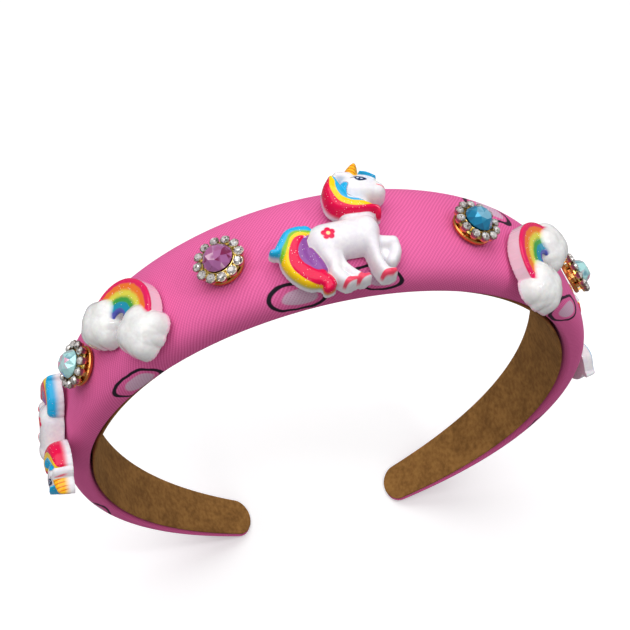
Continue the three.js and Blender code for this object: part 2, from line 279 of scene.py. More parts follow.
def pebble_effect():
    """One printed mark: a black outline round pink cloth, with a white patch inside it."""
    group, nodes, given, result = effect(
        "printed_pebble",
        {"Place": None, "Along": 0.0, "Across": 0.0, "Width": 8.0, "Height": 5.0, "Turn": 0.0},
        {"Outline": "Float", "Patch": "Float"})
    middle = nodes.add("CombineXYZ", {0: given["Along"], 1: given["Across"], 2: 0.0})
    moved = nodes.add("VectorMath", {0: given["Place"], 1: middle.outputs[0]}, operation="SUBTRACT")
    turned = nodes.add("VectorRotate", {"Vector": moved.outputs[0], "Angle": given["Turn"]},
                       rotation_type="Z_AXIS")
    parts = nodes.add("SeparateXYZ", {0: turned.outputs[0]})
    wobble = nodes.add("TexNoise", {"Vector": given["Place"], "Scale": 0.22, "Detail": 1.0})
    bulge = nodes.math("MULTIPLY_ADD", nodes.math("SUBTRACT", wobble.outputs["Fac"], 0.5), 0.5, 1.0)
    x = nodes.math("DIVIDE", parts.outputs["X"], nodes.math("MULTIPLY", given["Width"], 0.5))
    y = nodes.math("DIVIDE", parts.outputs["Y"], nodes.math("MULTIPLY", given["Height"], 0.5))
    reach = nodes.math("SQRT", nodes.math("ADD", nodes.math("POWER", x, 2.0), nodes.math("POWER", y, 2.0)))
    reach = nodes.math("MULTIPLY", reach, bulge)
    line = nodes.math("ABSOLUTE", nodes.math("SUBTRACT", reach, 1.0))
    outline = nodes.math("SUBTRACT", 1.0, nodes.rise(line, 0.07, 0.13))
    off = nodes.math("SUBTRACT", x, 0.12)
    patch = nodes.math("SQRT", nodes.math("ADD", nodes.math("POWER", off, 2.0), nodes.math("POWER", y, 2.0)))
    patch = nodes.math("MULTIPLY", patch, bulge)
    nodes.wire(result, {"Outline": outline,
                        "Patch": nodes.math("SUBTRACT", 1.0, nodes.rise(patch, 0.56, 0.68))})
    return group


def wear_effect():
    """Raised edges, from 0 on flat or hollow places to 1 on edges that hands rub."""
    group, nodes, given, result = effect("edge_wear", {"Start": 0.52, "End": 0.6}, {"Edge": "Float"})
    geometry = nodes.add("NewGeometry")
    edge = nodes.rise(geometry.outputs["Pointiness"], given["Start"], given["End"])
    nodes.wire(result, {"Edge": edge})
    return group


MOTTLE = mottle_effect()
WEAVE = weave_effect()
HAND_PAINT = paint_effect()
GLITTER = glitter_effect()
PEBBLE = pebble_effect()
EDGE_WEAR = wear_effect()


# Materials

def new_material(name, **settings):
    """A material, its nodes and its Principled BSDF, with the finish's plain values set."""
    material = bpy.data.materials.new(name)
    material.use_nodes = True
    shader = material.node_tree.nodes["Principled BSDF"]
    for label, value in settings.items():
        shader.inputs[label.replace("_", " ")].default_value = value
    return material, Nodes(material.node_tree), shader


def floor_paper():
    """White paper. It throws less light back than the camera sees, as a cut-out photo's ground does."""
    material, nodes, shader = new_material("floor_paper", Roughness=0.9)
    path = nodes.add("LightPath")
    seen = nodes.mix(path.outputs["Is Camera Ray"], (0.3, 0.28, 0.29, 1), (0.92, 0.91, 0.92, 1))
    glow = nodes.math("MULTIPLY", path.outputs["Is Camera Ray"], FLOOR_GLOW)
    nodes.wire(shader, {"Base Color": seen, "Emission Color": (1, 1, 1, 1), "Emission Strength": glow})
    return material


# Printed marks on the cloth: middle along and across the band, width, height and turn in degrees
PRINT_MARKS = [
    {"along": -12.0, "across": -13.0, "width": 11.0, "height": 6.0, "turn": 12},
    {"along": 4.0, "across": -12.5, "width": 10.0, "height": 5.0, "turn": 15},
    {"along": -58.0, "across": 12.0, "width": 13.0, "height": 7.5, "turn": -10},
    {"along": -52.0, "across": -14.5, "width": 12.0, "height": 6.0, "turn": 8},
    {"along": 36.0, "across": 7.5, "width": 12.0, "height": 8.0, "turn": 15},
    {"along": 60.0, "across": -12.0, "width": 11.0, "height": 6.5, "turn": -25},
    {"along": -98.0, "across": 4.0, "width": 12.0, "height": 6.5, "turn": 50},
    {"along": -128.0, "across": -9.0, "width": 14.0, "height": 6.0, "turn": 5},
    {"along": -160.0, "across": 5.0, "width": 11.0, "height": 6.0, "turn": -15},
    {"along": 108.0, "across": 7.0, "width": 12.0, "height": 7.0, "turn": 25},
    {"along": 132.0, "across": -8.5, "width": 14.0, "height": 6.0, "turn": -8},
    {"along": 163.0, "across": 4.0, "width": 11.0, "height": 6.0, "turn": 20},
]


def pink_cloth():
    material, nodes, shader = new_material(
        "pink_cloth", Roughness=0.8, Sheen_Weight=0.15, Sheen_Roughness=0.4, Specular_IOR_Level=0.12)
    shader.inputs["Sheen Tint"].default_value = (1.0, 0.42, 0.75, 1)
    cloth = nodes.field("cloth").outputs["Vector"]
    weave = nodes.place(WEAVE, {"Place": cloth, "Pitch": 0.6})
    tone = nodes.place(MOTTLE, {"Place": cloth, "Size": 9.0, "Grain": 1.3, "Contrast": 0.5})["Tone"]
    thread = nodes.mix(nodes.rise(weave["Height"], 0.15, 0.9), (0.65, 0.095, 0.27, 1), (0.81, 0.155, 0.40, 1))
    colour = nodes.mix(nodes.rise(tone, 0.3, 1.6), thread, (0.76, 0.13, 0.36, 1))
    outline, patch = 0.0, 0.0
    for mark in PRINT_MARKS:
        printed = nodes.place(PEBBLE, {
            "Place": cloth, "Along": mark["along"], "Across": mark["across"], "Width": mark["width"],
            "Height": mark["height"], "Turn": math.radians(mark["turn"])})
        outline = nodes.math("MAXIMUM", outline, printed["Outline"])
        patch = nodes.math("MAXIMUM", patch, printed["Patch"])
    gaps = nodes.rise(weave["Height"], 0.05, 0.3)
    ink = nodes.mix(nodes.math("MULTIPLY", gaps, 0.35), (0.55, 0.25, 0.42, 1), (0.85, 0.78, 0.82, 1))
    colour = nodes.mix(patch, colour, ink)
    colour = nodes.mix(outline, colour, (0.012, 0.01, 0.016, 1))
    relief = nodes.math("MULTIPLY_ADD", weave["Fibre"], 0.3, weave["Height"])
    nodes.wire(shader, {"Base Color": colour, "Normal": nodes.bump(relief, 0.35, 0.00012)})
    return material


def tan_suede():
    material, nodes, shader = new_material(
        "tan_suede", Roughness=0.95, Sheen_Weight=0.15, Sheen_Roughness=0.6, Specular_IOR_Level=0.05)
    shader.inputs["Sheen Tint"].default_value = (0.8, 0.5, 0.25, 1)
    cloth = nodes.field("cloth").outputs["Vector"]
    broad = nodes.place(MOTTLE, {"Place": cloth, "Size": 7.0, "Grain": 1.6, "Contrast": 1.0})["Tone"]
    nap = nodes.add("TexNoise", {"Vector": cloth, "Scale": 4.0, "Detail": 4.0}).outputs["Fac"]
    colour = nodes.mix(nodes.rise(broad, 0.1, 0.9), (0.15, 0.062, 0.014, 1), (0.38, 0.18, 0.048, 1))
    colour = nodes.mix(nodes.math("MULTIPLY", nap, 0.3), colour, (0.44, 0.23, 0.08, 1))
    nodes.wire(shader, {"Base Color": colour, "Normal": nodes.bump(nap, 0.4, 0.0002)})
    return material


RESIN_WHITE = (0.86, 0.84, 0.855, 1)

# Paint on the unicorn, in the order that it is brushed on: the field at the vertices, the colour, and
# how far the edge fades in millimetres
UNICORN_PAINT = [
    {"field": "tail_blue", "colour": (0.013, 0.43, 0.76, 1), "edge": 0.08},
    {"field": "green", "colour": (0.22, 0.50, 0.02, 1), "edge": 0.22},
    {"field": "yellow", "colour": (0.95, 0.61, 0.006, 1), "edge": 0.16},
    {"field": "crimson", "colour": (0.76, 0.001, 0.065, 1), "edge": 0.08},
    {"field": "purple", "colour": (0.26, 0.07, 0.33, 1), "edge": 0.08},
    {"field": "blue", "colour": (0.013, 0.43, 0.76, 1), "edge": 0.1},
    {"field": "gold", "colour": (0.95, 0.50, 0.015, 1), "edge": 0.08},
    {"field": "orange", "colour": (0.75, 0.16, 0.01, 1), "edge": 0.08},
    {"field": "coral", "colour": (0.87, 0.07, 0.14, 1), "edge": 0.14},
    {"field": "cream", "colour": (0.95, 0.72, 0.36, 1), "edge": 0.1},
    {"field": "navy", "colour": (0.012, 0.025, 0.09, 1), "edge": 0.08},
    {"field": "glint", "colour": (0.62, 0.72, 0.90, 1), "edge": 0.08},
]
GLITTER_FIELDS = ("tail_blue", "yellow", "crimson", "purple", "blue")


def resin_shader(name, coat):
    return new_material(name, Roughness=0.12, Specular_IOR_Level=0.2, Coat_Weight=coat, Coat_Roughness=0.04,
                        Subsurface_Weight=0.1, Subsurface_Scale=0.001)


def painted_unicorn(name, low, high):
    """Low and high are the heights on the casting's wall between which the paint thins out."""
    material, nodes, shader = resin_shader(name, 0.12)
    casting = nodes.field("casting").outputs["Vector"]
    height = nodes.add("SeparateXYZ", {0: casting}).outputs["Z"]
    blush = nodes.field("blush").outputs["Fac"]
    tone = nodes.place(MOTTLE, {"Place": casting, "Size": 3.0, "Grain": 0.7, "Contrast": 0.8})["Tone"]
    colour = nodes.mix(nodes.rise(tone, 0.2, 0.8), (0.77, 0.735, 0.79, 1), RESIN_WHITE)
    colour = nodes.mix(nodes.math("MULTIPLY", blush, 0.8), colour, (0.86, 0.24, 0.38, 1))
    sparkle = 0.0
    for coat in UNICORN_PAINT:
        inside = nodes.field(coat["field"]).outputs["Fac"]
        paint = nodes.place(HAND_PAINT, {
            "Inside": inside, "Height": height, "Edge": coat["edge"], "Low": low, "High": high})["Paint"]
        colour = nodes.mix(paint, colour, coat["colour"])
        if coat["field"] in GLITTER_FIELDS:
            sparkle = nodes.math("MAXIMUM", sparkle, paint)
    flakes = nodes.place(GLITTER, {"Place": casting, "Spacing": 0.4, "Flake": 0.15, "Share": 0.42})["Flakes"]
    colour = nodes.mix(nodes.math("MULTIPLY", flakes, sparkle), colour, (0.95, 0.90, 0.95, 1))
    nodes.wire(shader, {"Base Color": colour, "Normal": nodes.bump(tone, 0.05, 0.0003)})
    return material


# Stripes of the rainbow from the inside out: the radius where each ends, how far it blends in, its colour
RAINBOW_STRIPES = [
    {"until": 2.50, "feather": 0.2, "colour": (0.07, 0.08, 0.38, 1)},
    {"until": 3.90, "feather": 0.25, "colour": (0.00, 0.27, 0.42, 1)},
    {"until": 5.10, "feather": 0.2, "colour": (0.04, 0.33, 0.05, 1)},
    {"until": 6.45, "feather": 0.5, "colour": (0.72, 0.64, 0.06, 1)},
    {"until": 7.85, "feather": 0.5, "colour": (0.83, 0.18, 0.015, 1)},
    {"until": 9.40, "feather": 0.25, "colour": (0.74, 0.004, 0.10, 1)},
]


def painted_rainbow():
    material, nodes, shader = resin_shader("painted_rainbow", 0.4)
    casting = nodes.field("casting").outputs["Vector"]
    tone = nodes.place(MOTTLE, {"Place": casting, "Size": 3.0, "Grain": 0.8, "Contrast": 0.8})["Tone"]
    white = nodes.mix(nodes.rise(tone, 0.2, 0.8), (0.75, 0.735, 0.735, 1), (0.84, 0.84, 0.82, 1))
    colour = nodes.mix(nodes.field("blush").outputs["Fac"], white, (0.88, 0.58, 0.68, 1))
    parts = nodes.add("SeparateXYZ", {0: casting})
    squares = nodes.math("ADD", nodes.math("POWER", parts.outputs["X"], 2.0),
                         nodes.math("POWER", parts.outputs["Y"], 2.0))
    radius = nodes.math("MULTIPLY_ADD", tone, 0.5, nodes.math("SQRT", squares))
    stripes = RAINBOW_STRIPES[0]["colour"]
    for inner, outer in zip(RAINBOW_STRIPES, RAINBOW_STRIPES[1:]):
        edge = inner["until"] + 0.25
        past = nodes.rise(radius, edge - outer["feather"], edge + outer["feather"])
        stripes = nodes.mix(past, stripes, outer["colour"])
    on_arch = nodes.field("arch").outputs["Fac"]
    paint = nodes.place(HAND_PAINT, {
        "Inside": on_arch, "Height": parts.outputs["Z"], "Edge": 0.3, "Low": 2.75, "High": 3.05})["Paint"]
    flakes = nodes.place(GLITTER, {"Place": casting, "Spacing": 0.5, "Flake": 0.16, "Share": 0.3})["Flakes"]
    stripes = nodes.mix(flakes, stripes, (0.95, 0.95, 0.95, 1))
    nodes.wire(shader, {"Base Color": nodes.mix(paint, colour, stripes),
                        "Normal": nodes.bump(tone, 0.08, 0.0004)})
    return material


def copper_gold():
    material, nodes, shader = new_material("copper_gold", Metallic=1.0, Roughness=0.22)
    place = nodes.field("charm").outputs["Vector"]
    tone = nodes.place(MOTTLE, {"Place": place, "Size": 2.0, "Grain": 0.4, "Contrast": 1.2})["Tone"]
    low = nodes.add("SeparateXYZ", {0: place}).outputs["Z"]
    # Painted shade: the plating runs from dark copper at the cup's foot to bright gold at its rim, darker
    # towards the bottom.
    plating_and_shade = nodes.mix(nodes.rise(low, 1.0, 1.5), (0.60, 0.21, 0.03, 1), (0.80, 0.42, 0.06, 1))
    plating_and_shade = nodes.mix(nodes.rise(low, 1.9, 2.25), plating_and_shade, (0.92, 0.74, 0.16, 1))
    edge = nodes.place(EDGE_WEAR, {"Start": 0.53, "End": 0.62})["Edge"]
    colour = nodes.mix(nodes.math("MULTIPLY", edge, 0.5), plating_and_shade, (0.93, 0.62, 0.28, 1))
    nodes.wire(shader, {"Base Color": colour, "Roughness": nodes.math("MULTIPLY_ADD", tone, 0.2, 0.12),
                        "Normal": nodes.bump(tone, 0.15, 0.0001)})
    return material


def dark_plating():
    material, nodes, shader = new_material("dark_plating", Metallic=1.0, Roughness=0.3)
    place = nodes.field("charm").outputs["Vector"]
    tone = nodes.place(MOTTLE, {"Place": place, "Size": 1.0, "Grain": 0.3, "Contrast": 1.0})["Tone"]
    edge = nodes.place(EDGE_WEAR, {"Start": 0.55, "End": 0.65})["Edge"]
    colour = nodes.mix(tone, (0.09, 0.08, 0.07, 1), (0.2, 0.17, 0.14, 1))
    colour = nodes.mix(edge, colour, (0.7, 0.62, 0.5, 1))
    nodes.wire(shader, {"Base Color": colour, "Roughness": nodes.math("MULTIPLY_ADD", tone, 0.2, 0.18)})
    return material


def cut_stone(name, dark, middle, painted_glint, table):
    """A foiled stone with painted reflections: each facet is coloured by its own share of light, the table
    paler.
    """
    material, nodes, shader = new_material(
        name, Roughness=0.03, Specular_IOR_Level=0.5, Coat_Weight=0.5, Coat_Roughness=0.02)
    facet = nodes.field("facet").outputs["Fac"]
    place = nodes.field("charm").outputs["Vector"]
    # Painted glints: patches of brighter colour over the facets stand in for light thrown back from inside
    # the stone.
    inner = nodes.add("TexVoronoi", {"Vector": place, "Scale": 0.7}, feature="F1").outputs["Distance"]
    light = nodes.math("MULTIPLY_ADD", nodes.math("SUBTRACT", inner, 0.45), 0.35, facet)
    # Painted shade and light: each facet is coloured darker or lighter by its share of light.
    colour = nodes.mix(nodes.rise(light, 0.1, 0.3), dark, middle)
    height = nodes.add("SeparateXYZ", {0: place}).outputs["Z"]
    # Painted reflection: the table is coloured paler than the facets round it.
    on_table = nodes.math("GREATER_THAN", height, GEM_TOP - 0.01)
    colour = nodes.mix(nodes.math("MULTIPLY", on_table, 0.6), colour, table)
    # Painted glints on the facets with the most light.
    colour = nodes.mix(nodes.rise(light, 0.75, 1.0), colour, painted_glint)
    nodes.wire(shader, {"Base Color": colour, "Metallic": nodes.math("MULTIPLY", facet, 0.35)})
    return material


# Colours of each stone's painted light: its dark, middle and glinting facets, and the paler painted
# reflection on its table
STONE_COLOURS = {
    "pink": ((0.20, 0.006, 0.07, 1), (0.42, 0.13, 0.35, 1), (0.86, 0.52, 0.70, 1), (0.46, 0.16, 0.36, 1)),
    "blue": ((0.0, 0.12, 0.25, 1), (0.0, 0.20, 0.38, 1), (0.03, 0.34, 0.55, 1), (0.30, 0.62, 0.78, 1)),
    "clear": ((0.16, 0.34, 0.42, 1), (0.42, 0.74, 0.74, 1), (0.94, 0.42, 0.60, 1), (0.60, 0.80, 0.82, 1)),
    "chip": ((0.10, 0.085, 0.075, 1), (0.50, 0.47, 0.45, 1), (0.97, 0.96, 0.95, 1), (0.7, 0.7, 0.7, 1)),
}


# Meshes

def keep_field(mesh, name, values):
    """Keeps one number, or one vector, at each vertex."""
    values = np.asarray(values, float)
    vector = values.ndim == 2
    field = mesh.attributes.new(name, "FLOAT_VECTOR" if vector else "FLOAT", "POINT")
    field.data.foreach_set("vector" if vector else "value", values.ravel())


def dress(mesh, name, material, replaces=(), smooth=True):
    """Makes the piece of a mesh that is already in metres and in its place."""
    piece = bpy.data.objects.new(name, mesh)
    bpy.context.scene.collection.objects.link(piece)
    mesh.materials.append(material)
    mesh.shade_smooth() if smooth else mesh.shade_flat()
    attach(piece, "root")
    if replaces:
        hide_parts(*replaces)
    return piece


def mesh_of(name, points, faces):
    """A mesh in metres from points in millimetres."""
    mesh = bpy.data.meshes.new(name)
    mesh.from_pydata((np.asarray(points) * MM).tolist(), [], [tuple(face) for face in faces])
    mesh.validate()
    return mesh


def tube_faces(rings, sides):
    """Faces between rings of points, with a cap on each end."""
    faces = []
    for ring in range(rings - 1):
        for side in range(sides):
            a = ring * sides + side
            b = ring * sides + (side + 1) % sides
            faces.append((a, b, b + sides, a + sides))
    faces.append(tuple(reversed(range(sides))))
    last = (rings - 1) * sides
    faces.append(tuple(range(last, last + sides)))
    return faces


# The band's line and section

def trace_band():
    s = np.linspace(0, HALF_LENGTH, math.ceil(HALF_LENGTH) + 1)
    ds = np.diff(s)
    share = (s[1:] + s[:-1]) / 2 / HALF_LENGTH
    bend = 1 / CROWN_RADIUS + (1 / TIP_RADIUS - 1 / CROWN_RADIUS) * share ** CURL_POWER
    turn = np.append(0, np.cumsum(bend * ds))
    heading = (turn[1:] + turn[:-1]) / 2
    x = np.append(0, np.cumsum(np.cos(heading) * ds))
    z = np.append(0, np.cumsum(-np.sin(heading) * ds))
    return s, x, z, turn


BAND_LINE = trace_band()


def band_at(s):
    """Point on the inside of the band, the way along it and the way out of it."""
    s = np.asarray(s, float)
    side = np.where(s < 0, -1.0, 1.0)
    x, z, turn = (np.interp(np.abs(s), BAND_LINE[0], column) for column in BAND_LINE[1:])
    turn = side * turn
    level = np.zeros_like(turn)
    point = np.stack([side * x, level, z], -1) + CROWN_INSIDE
    along = np.stack([np.cos(turn), level, -np.sin(turn)], -1)
    out = np.stack([np.sin(turn), level, np.cos(turn)], -1)
    return point, along, out


def tip_round(s):
    left = np.clip((HALF_LENGTH - np.abs(s)) / TIP_CORNER, 0, 1)
    return np.sqrt(1 - (1 - left) ** 2)


def half_width_at(s):
    half = (CROWN_WIDTH + (TIP_WIDTH - CROWN_WIDTH) * (np.abs(s) / HALF_LENGTH) ** 2) / 2
    return half - TIP_CORNER * (1 - tip_round(s))


def thickness_at(s):
    share = (np.abs(s) / HALF_LENGTH) ** PADDING_POWER
    return CROWN_THICKNESS + (TIP_THICKNESS - CROWN_THICKNESS) * share - TIP_EDGE * (1 - tip_round(s))


def pad_top(s, across):
    thickness = thickness_at(s)
    widest = LINING_TOP + WIDEST_SHARE * (thickness - LINING_TOP)
    share = np.minimum(np.abs(across) / half_width_at(s), 1)
    return widest + (thickness - widest) * (1 - share ** SECTION_POWER) ** (1 / SECTION_POWER)


def stations(step, inset=0.0):
    """Distances along the band, closer together where the tips round off."""
    straight = HALF_LENGTH - inset - TIP_CORNER
    half = np.linspace(0, straight, round(straight / step) + 1)
    corner = straight + TIP_CORNER * np.sin(np.linspace(0, math.pi / 2, 9))[1:]
    half = np.append(half, corner)
    return np.append(-half[:0:-1], half)


def seat(name):
    """The charm's own frame: x along the band before its turn, z out from the padded side."""
    place = CHARM_PLACES[name]
    s, across = place["along"], place["across"]
    point, along, out = (Vector(part) for part in band_at(s))
    rise = float(pad_top(s, across + 0.01) - pad_top(s, across - 0.01)) / 0.02
    back = (Vector((0, 1, 0)) + rise * out).normalized()
    facing = along.cross(back)
    point = point + out * float(pad_top(s, across)) + Vector((0, across, 0)) + facing * SEAT_GAP
    axes = Matrix((along, back, facing)).transposed().to_4x4()
    return Matrix.Translation(point) @ axes @ Matrix.Rotation(math.radians(place["turn"]), 4, "Z")


# Padded cloth

PAD_SIDES = 96
PAD_STEP = 1.3
SWELL = 0.35  # most that the cloth may swell past the plain section
SWELL_STEPS = 15
SWELL_SIDES = 20
SWELL_SPACING = 3.0
GLUE_REACH = 5.0  # how far from a charm's middle its glue holds the cloth
CLOTH_STRETCH = 1.1  # the outside of the bend is longer than the inside, along which places are measured


def round_power(value, power):
    return np.sign(value) * np.abs(value) ** (2 / power)


def pad_section(s, sides):
    """Rings of points round the band at each distance, and how far round each point is from the top."""
    point, along, out = band_at(s)
    thickness = thickness_at(s)[:, None]
    widest = LINING_TOP + WIDEST_SHARE * (thickness - LINING_TOP)
    angle = np.arange(sides) / sides * 2 * math.pi
    side = round_power(np.cos(angle), SECTION_POWER)
    up = round_power(np.sin(angle), SECTION_POWER)
    height = widest + up * np.where(up > 0, thickness - widest, widest - LINING_TOP)
    rings = point[:, None, :] + out[:, None, :] * height[..., None]
    rings[..., 1] += half_width_at(s)[:, None] * side
    step = np.linalg.norm(np.diff(rings, axis=1, append=rings[:, :1]), axis=2)
    girth = np.cumsum(step, axis=1) - step
    girth = girth - girth[:, sides // 4][:, None]
    return rings, -girth


def swell_cloth():
    """A cloth simulation of the cover: it is pinned where it is glued, and swells a little between."""
    s = stations(SWELL_SPACING)
    rings, _ = pad_section(s, SWELL_SIDES)
    mesh = mesh_of("cover_cloth", rings.reshape(-1, 3), tube_faces(len(s), SWELL_SIDES))
    cover = bpy.data.objects.new("cover_cloth", mesh)
    bpy.context.scene.collection.objects.link(cover)
    start = rings * MM
    glued = np.zeros((len(s), SWELL_SIDES))
    glued[:, SWELL_SIDES // 2:] = 1.0
    glued[0] = glued[-1] = 1.0
    for place in CHARM_PLACES.values():
        near = np.abs(s - place["along"])[:, None] < GLUE_REACH
        glued[near & (np.abs(rings[..., 1] - CROWN_INSIDE[1] - place["across"]) < GLUE_REACH)] = 1.0
    group = cover.vertex_groups.new(name="glued")
    for index in np.flatnonzero(glued.ravel()):
        group.add([int(index)], 1.0, "REPLACE")
    cloth = cover.modifiers.new("cloth", "CLOTH")
    cloth.settings.vertex_group_mass = "glued"
    cloth.settings.quality = 6
    cloth.settings.mass = 0.002
    cloth.settings.tension_stiffness = 15
    cloth.settings.bending_stiffness = 0.5
    cloth.settings.use_pressure = True
    cloth.settings.uniform_pressure_force = 4.0
    cloth.settings.effector_weights.gravity = 0.0
    cloth.collision_settings.use_collision = False
    scene = bpy.context.scene
    for step in range(1, SWELL_STEPS + 1):
        scene.frame_set(step)
    shaped = cover.evaluated_get(bpy.context.evaluated_depsgraph_get()).to_mesh()
    end = np.zeros(len(mesh.vertices) * 3)
    shaped.vertices.foreach_get("co", end)
    moved = end.reshape(start.shape) - start
    cover.evaluated_get(bpy.context.evaluated_depsgraph_get()).to_mesh_clear()
    scene.frame_set(1)
    bpy.data.objects.remove(cover)
    length = np.linalg.norm(moved, axis=2) / MM
    print("cloth swell, mm: most", length.max().round(3), "mean", length.mean().round(3))
    cap = np.minimum(length, SWELL) / np.maximum(length, 1e-9)
    return s, moved / MM * cap[..., None]


def spread(coarse_s, moved, s, sides):
    """Lays the simulated movement over a finer grid of the same rings."""
    by_ring = np.empty((len(s), moved.shape[1], 3))
    for side in range(moved.shape[1]):
        for axis in range(3):
            by_ring[:, side, axis] = np.interp(s, coarse_s, moved[:, side, axis])
    turns = np.arange(sides) / sides * moved.shape[1]
    low = np.floor(turns).astype(int)
    part = (turns - low)[None, :, None]
    return by_ring[:, low] * (1 - part) + by_ring[:, (low + 1) % moved.shape[1]] * part


def make_band(cloth_material):
    s = stations(PAD_STEP)
    rings, girth = pad_section(s, PAD_SIDES)
    rings = rings + spread(*swell_cloth(), s, PAD_SIDES)
    rings[..., 2] = np.maximum(rings[..., 2], 0.0)
    mesh = mesh_of("padded_cover", rings.reshape(-1, 3), tube_faces(len(s), PAD_SIDES))
    along = np.broadcast_to(s[:, None] * CLOTH_STRETCH, girth.shape)
    cloth = np.stack([along, girth, np.zeros_like(girth)], -1)
    keep_field(mesh, "cloth", cloth.reshape(-1, 3))
    band = dress(mesh, "padded_cover", cloth_material, ["padded_band"])


def make_lining(suede_material):
    s = stations(1.6, LINING_INSET)
    point, along, out = band_at(s)
    half = half_width_at(s * HALF_LENGTH / (HALF_LENGTH - LINING_INSET))
    half = half - LINING_INSET - CROWN_INSET * (1 - np.abs(s) / HALF_LENGTH)
    across = np.array([1.0, 0.98, 0.93, 0.5, 0.0, -0.5, -0.93, -0.98, -1.0])
    dip = np.array([0.45, 0.12, 0.0, 0.0, 0.0, 0.0, 0.0, 0.12, 0.45])
    across = np.append(across, across[::-1] * 0.98)
    height = np.append(dip, np.full(len(dip), LINING_THICKNESS))
    rings = point[:, None, :] + out[:, None, :] * height[None, :, None]
    rings[..., 1] += half[:, None] * across
    rings[..., 2] = np.maximum(rings[..., 2], 0.05)
    sides = len(across)
    faces = [face[::-1] for face in tube_faces(len(s), sides)]
    mesh = mesh_of("suede_strip", rings.reshape(-1, 3), faces)
    cloth = np.stack([
        np.broadcast_to(s[:, None], rings.shape[:2]),
        rings[..., 1],
        np.broadcast_to(height, rings.shape[:2]),
    ], -1)
    keep_field(mesh, "cloth", cloth.reshape(-1, 3))
    dress(mesh, "suede_strip", suede_material, ["suede_lining"])


# Castings: a flat-backed relief, worked out as heights over a fine grid and then remeshed evenly

CASTING_GRID = 0.125
CASTING_VOXEL = 0.17
WALL_SLOPE = 8.0


def smooth_rows(rows, steps=8):
    """A smooth curve through the rows, whatever their columns hold."""
    rows = np.asarray(rows, float)
    ends = np.vstack([2 * rows[0] - rows[1], rows, 2 * rows[-1] - rows[-2]])
    t = np.linspace(0, 1, steps, endpoint=False)[:, None]
    parts = []
    for a, b, c, d in zip(ends, ends[1:], ends[2:], ends[3:]):
        parts.append((2 * b + (c - a) * t + (2 * a - 5 * b + 4 * c - d) * t ** 2
                      + (3 * b - a - 3 * c + d) * t ** 3) / 2)
    return np.vstack(parts + [rows[-1:]])


def nearest(rows, places, relative=False):
    """How far each place is from the line, and the line's other columns there.
    With relative, the nearest point is the one with the least distance for its half width."""
    line = smooth_rows(rows)
    best = np.full(len(places), np.inf)
    distance = np.zeros(len(places))
    columns = np.zeros((len(places), line.shape[1] - 2))
    for a, b in zip(line, line[1:]):
        step = b[:2] - a[:2]
        share = np.clip((places - a[:2]) @ step / max(step @ step, 1e-9), 0, 1)
        gap = np.linalg.norm(places - a[:2] - share[:, None] * step, axis=1)
        there = a[2:] + share[:, None] * (b[2:] - a[2:])
        measure = gap / there[:, 0] if relative else gap
        nearer = measure < best
        best[nearer] = measure[nearer]
        distance[nearer] = gap[nearer]
        columns[nearer] = there[nearer]
    return distance, columns


def rib_height(rows, places, power):
    """Height of one rib: rounded over its width, and below the ground outside it."""
    distance, columns = nearest(rows, places, relative=True)
    half, tall = columns[:, 0], columns[:, 1]
    share = distance / half
    dome = tall * (1 - np.minimum(share, 1) ** power) ** (1 / power)
    return np.where(share < 1, dome, -(distance - half) * WALL_SLOPE)


def inside(rows, places):
    """How far each place lies inside a brush stroke of rows (u, v, half width)."""
    distance, columns = nearest(rows, places)
    return columns[:, 0] - distance


def area_inside(outline, places):
    """How far each place lies inside a closed outline; below 0 outside it."""
    line = smooth_rows([[u, v, 0.0] for u, v in outline])[:, :2]
    line = np.vstack([line, line[:1]])
    distance = np.full(len(places), np.inf)
    within = np.zeros(len(places), bool)
    x, y = places.T
    for a, b in zip(line, line[1:]):
        step = b - a
        share = np.clip((places - a) @ step / max(step @ step, 1e-9), 0, 1)
        distance = np.minimum(distance, np.linalg.norm(places - a - share[:, None] * step, axis=1))
        spans = (a[1] > y) != (b[1] > y)
        if spans.any():
            within ^= spans & (x < a[0] + step[0] * (y - a[1]) / step[1])
    return np.where(within, distance, -distance)


def blended(first, second, width):
    """The higher of two heights, with the crease between them filled over the width."""
    close = np.maximum(width - np.abs(first - second), 0)
    return np.maximum(first, second) + close * close / (4 * width)


def soft_step(value, width):
    share = np.clip(value / width, 0, 1)
    return share * share * (3 - 2 * share)


def cast(name, low, high, height_at):
    """The casting's mesh in millimetres: closed, even, with a flat back."""
    u = np.arange(low[0], high[0], CASTING_GRID)
    v = np.arange(low[1], high[1], CASTING_GRID)
    places = np.stack(np.meshgrid(u, v, indexing="ij"), -1).reshape(-1, 2)
    height = height_at(places)
    index = np.arange(len(places)).reshape(len(u), len(v))
    quads = np.stack([index[:-1, :-1], index[1:, :-1], index[1:, 1:], index[:-1, 1:]], -1).reshape(-1, 4)
    quads = quads[(height[quads] > 0).any(axis=1)]
    used, faces = np.unique(quads, return_inverse=True)
    faces = faces.reshape(-1, 4)
    top = np.column_stack([places, np.maximum(height, 0)])[used]
    raised = top[:, 2] > 0
    below = np.arange(len(used))
    below[raised] = len(used) + np.arange(raised.sum())
    points = np.vstack([top, top[raised] * (1, 1, 0)])
    mesh = bpy.data.meshes.new(name)
    mesh.from_pydata(points.tolist(), [], np.vstack([faces, below[faces][:, ::-1]]).tolist())
    return remeshed(mesh)


def remeshed(mesh):
    raw = bpy.data.objects.new("casting_raw", mesh)
    bpy.context.scene.collection.objects.link(raw)
    even = raw.modifiers.new("even", "REMESH")
    even.mode = "VOXEL"
    even.voxel_size = CASTING_VOXEL
    ease = raw.modifiers.new("ease", "SMOOTH")
    ease.factor = 0.5
    ease.iterations = 2
    dependencies = bpy.context.evaluated_depsgraph_get()
    result = bpy.data.meshes.new_from_object(raw.evaluated_get(dependencies))
    bpy.data.objects.remove(raw)
    return result


def vertex_places(mesh):
    places = np.zeros(len(mesh.vertices) * 3)
    mesh.vertices.foreach_get("co", places)
    return places.reshape(-1, 3)


